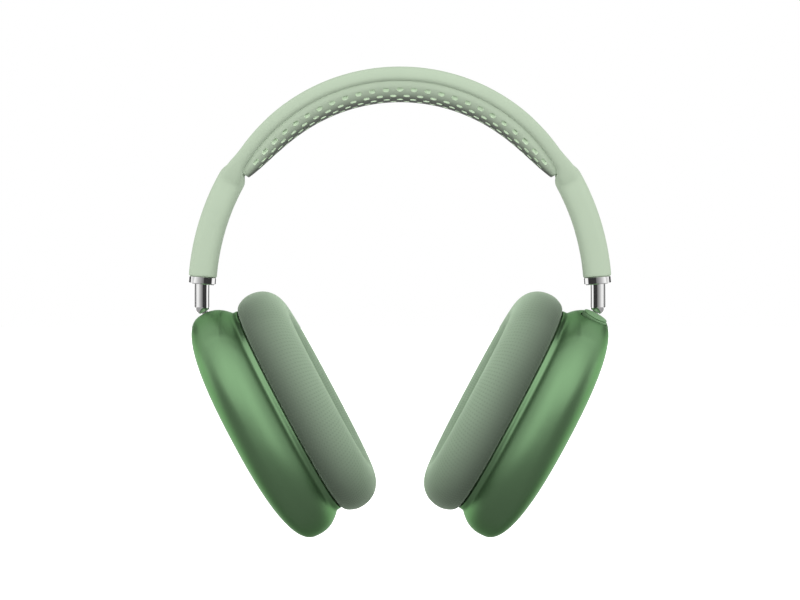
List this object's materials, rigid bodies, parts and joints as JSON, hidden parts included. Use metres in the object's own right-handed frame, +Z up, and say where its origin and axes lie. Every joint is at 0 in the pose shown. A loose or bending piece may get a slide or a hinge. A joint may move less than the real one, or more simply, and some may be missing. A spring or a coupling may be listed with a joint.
{
  "type": "over-ear headset",
  "caption": "Over-ear headset with a forked band, slotted head pad, sliding arms, and tilting, turning ear cups with soft cushions.",
  "frame": {"origin": "lowest point of the head pad's underside, at the middle of the band, where the headset rests on the head", "axes": "+Z up, +Y the way the wearer faces, +X the wearer's right"},
  "size_m": [0.169, 0.0836, 0.1853],
  "materials": {
    "soft_touch_sage": "soft-touch, matte",
    "pad_sage": "moulded, matte",
    "polished_steel": "polished",
    "steel": "brushed",
    "brass": "turned",
    "black_plastic": "moulded",
    "anodised_green": "bead-blasted and anodised",
    "cone": "formed film",
    "circuit": "solder mask",
    "knit_green": "fine knit",
    "screen": "open weave"
  },
  "bodies": {
    "headband": {"band_frame": "soft_touch_sage", "head_pad": "pad_sage", "leg_tube_left": "steel", "leg_tube_right": "steel", "guide_bush_left": "black_plastic", "guide_bush_right": "black_plastic", "collar_left": "polished_steel", "collar_right": "polished_steel"},
    "arm_left": {"arm_left": "polished_steel", "arm_stop_left": "black_plastic", "tilt_pin_left": "steel", "tilt_spring_left": "steel", "tilt_plunger_left": "brass"},
    "post_left": {"pivot_post_left": "steel", "post_clip_left": "steel"},
    "cup_left": {"cup_shell_left": "anodised_green", "pivot_housing_left": "black_plastic", "swivel_bush_left": "brass", "baffle_left": "black_plastic", "cushion_magnets_left": "steel", "speaker_frame_left": "black_plastic", "speaker_magnet_left": "steel", "speaker_grille_left": "black_plastic", "circuit_board_left": "circuit", "battery_left": "steel"},
    "ear_cushion_left": {"cushion_plate_left": "black_plastic", "cushion_left": "knit_green", "cushion_screen_left": "screen"},
    "speaker_cone_left": {"diaphragm_left": "cone", "voice_coil_left": "brass"},
    "arm_right": {"arm_right": "polished_steel", "arm_stop_right": "black_plastic", "tilt_pin_right": "steel", "tilt_spring_right": "steel", "tilt_plunger_right": "brass"},
    "post_right": {"pivot_post_right": "steel", "post_clip_right": "steel"},
    "cup_right": {"cup_shell_right": "anodised_green", "pivot_housing_right": "black_plastic", "swivel_bush_right": "brass", "baffle_right": "black_plastic", "cushion_magnets_right": "steel", "speaker_frame_right": "black_plastic", "speaker_magnet_right": "steel", "speaker_grille_right": "black_plastic", "circuit_board_right": "circuit", "dial_bezel": "anodised_green", "dial_encoder": "black_plastic", "button_switch": "black_plastic", "charge_port": "steel", "port_tongue": "black_plastic"},
    "ear_cushion_right": {"cushion_plate_right": "black_plastic", "cushion_right": "knit_green", "cushion_screen_right": "screen"},
    "speaker_cone_right": {"diaphragm_right": "cone", "voice_coil_right": "brass"},
    "dial_switch": {"dial_plunger": "brass"},
    "dial": {"dial_knob": "anodised_green"},
    "button": {"mode_button": "anodised_green"}
  },
  "joints": [
    {"name": "arm_slide_left", "type": "hinge", "parent": "headband", "child": "arm_left", "pos_m": [0.0908, 0, -0.0774], "axis": [0, -1, 0], "range_deg": [0, 5.39]},
    {"name": "cup_tilt_left", "type": "hinge", "parent": "arm_left", "child": "post_left", "pos_m": [-0.0792, 0, -0.0823], "axis": [0, 1, 0], "range_deg": [0, 35], "stiffness_Nm_per_rad": 0.1, "springref_deg": -45.84},
    {"name": "cup_swivel_left", "type": "hinge", "parent": "post_left", "child": "cup_left", "pos_m": [-0.0792, 0, -0.0823], "axis": [-0.4695, 0, 0.8829], "range_deg": [-10, 90]},
    {"name": "cushion_pull_left", "type": "slide", "parent": "cup_left", "child": "ear_cushion_left", "axis": [0.8829, 0, 0.4695], "range_m": [0, 0.008]},
    {"name": "speaker_stroke_left", "type": "slide", "parent": "cup_left", "child": "speaker_cone_left", "axis": [0.8829, 0, 0.4695], "range_m": [-0.0004, 0.0004], "stiffness_N_per_m": 400},
    {"name": "arm_slide_right", "type": "hinge", "parent": "headband", "child": "arm_right", "pos_m": [-0.0908, 0, -0.0774], "axis": [0, 1, 0], "range_deg": [0, 5.39]},
    {"name": "cup_tilt_right", "type": "hinge", "parent": "arm_right", "child": "post_right", "pos_m": [0.0792, 0, -0.0823], "axis": [0, -1, 0], "range_deg": [0, 35], "stiffness_Nm_per_rad": 0.1, "springref_deg": -45.84},
    {"name": "cup_swivel_right", "type": "hinge", "parent": "post_right", "child": "cup_right", "pos_m": [0.0792, 0, -0.0823], "axis": [-0.4695, 0, -0.8829], "range_deg": [-10, 90]},
    {"name": "cushion_pull_right", "type": "slide", "parent": "cup_right", "child": "ear_cushion_right", "axis": [-0.8829, 0, 0.4695], "range_m": [0, 0.008]},
    {"name": "speaker_stroke_right", "type": "slide", "parent": "cup_right", "child": "speaker_cone_right", "axis": [-0.8829, 0, 0.4695], "range_m": [-0.0004, 0.0004], "stiffness_N_per_m": 400},
    {"name": "dial_press", "type": "slide", "parent": "cup_right", "child": "dial_switch", "axis": [-0.4574, 0.225, -0.8603], "range_m": [0, 0.0003], "stiffness_N_per_m": 1500},
    {"name": "dial_turn", "type": "hinge", "parent": "dial_switch", "child": "dial", "pos_m": [0.07705, -0.014, -0.08529], "axis": [0.4574, -0.225, 0.8603], "continuous": true},
    {"name": "button_press", "type": "slide", "parent": "cup_right", "child": "button", "axis": [-0.4592, -0.2079, -0.8637], "range_m": [0, 0.0005], "stiffness_N_per_m": 1500}
  ]
}
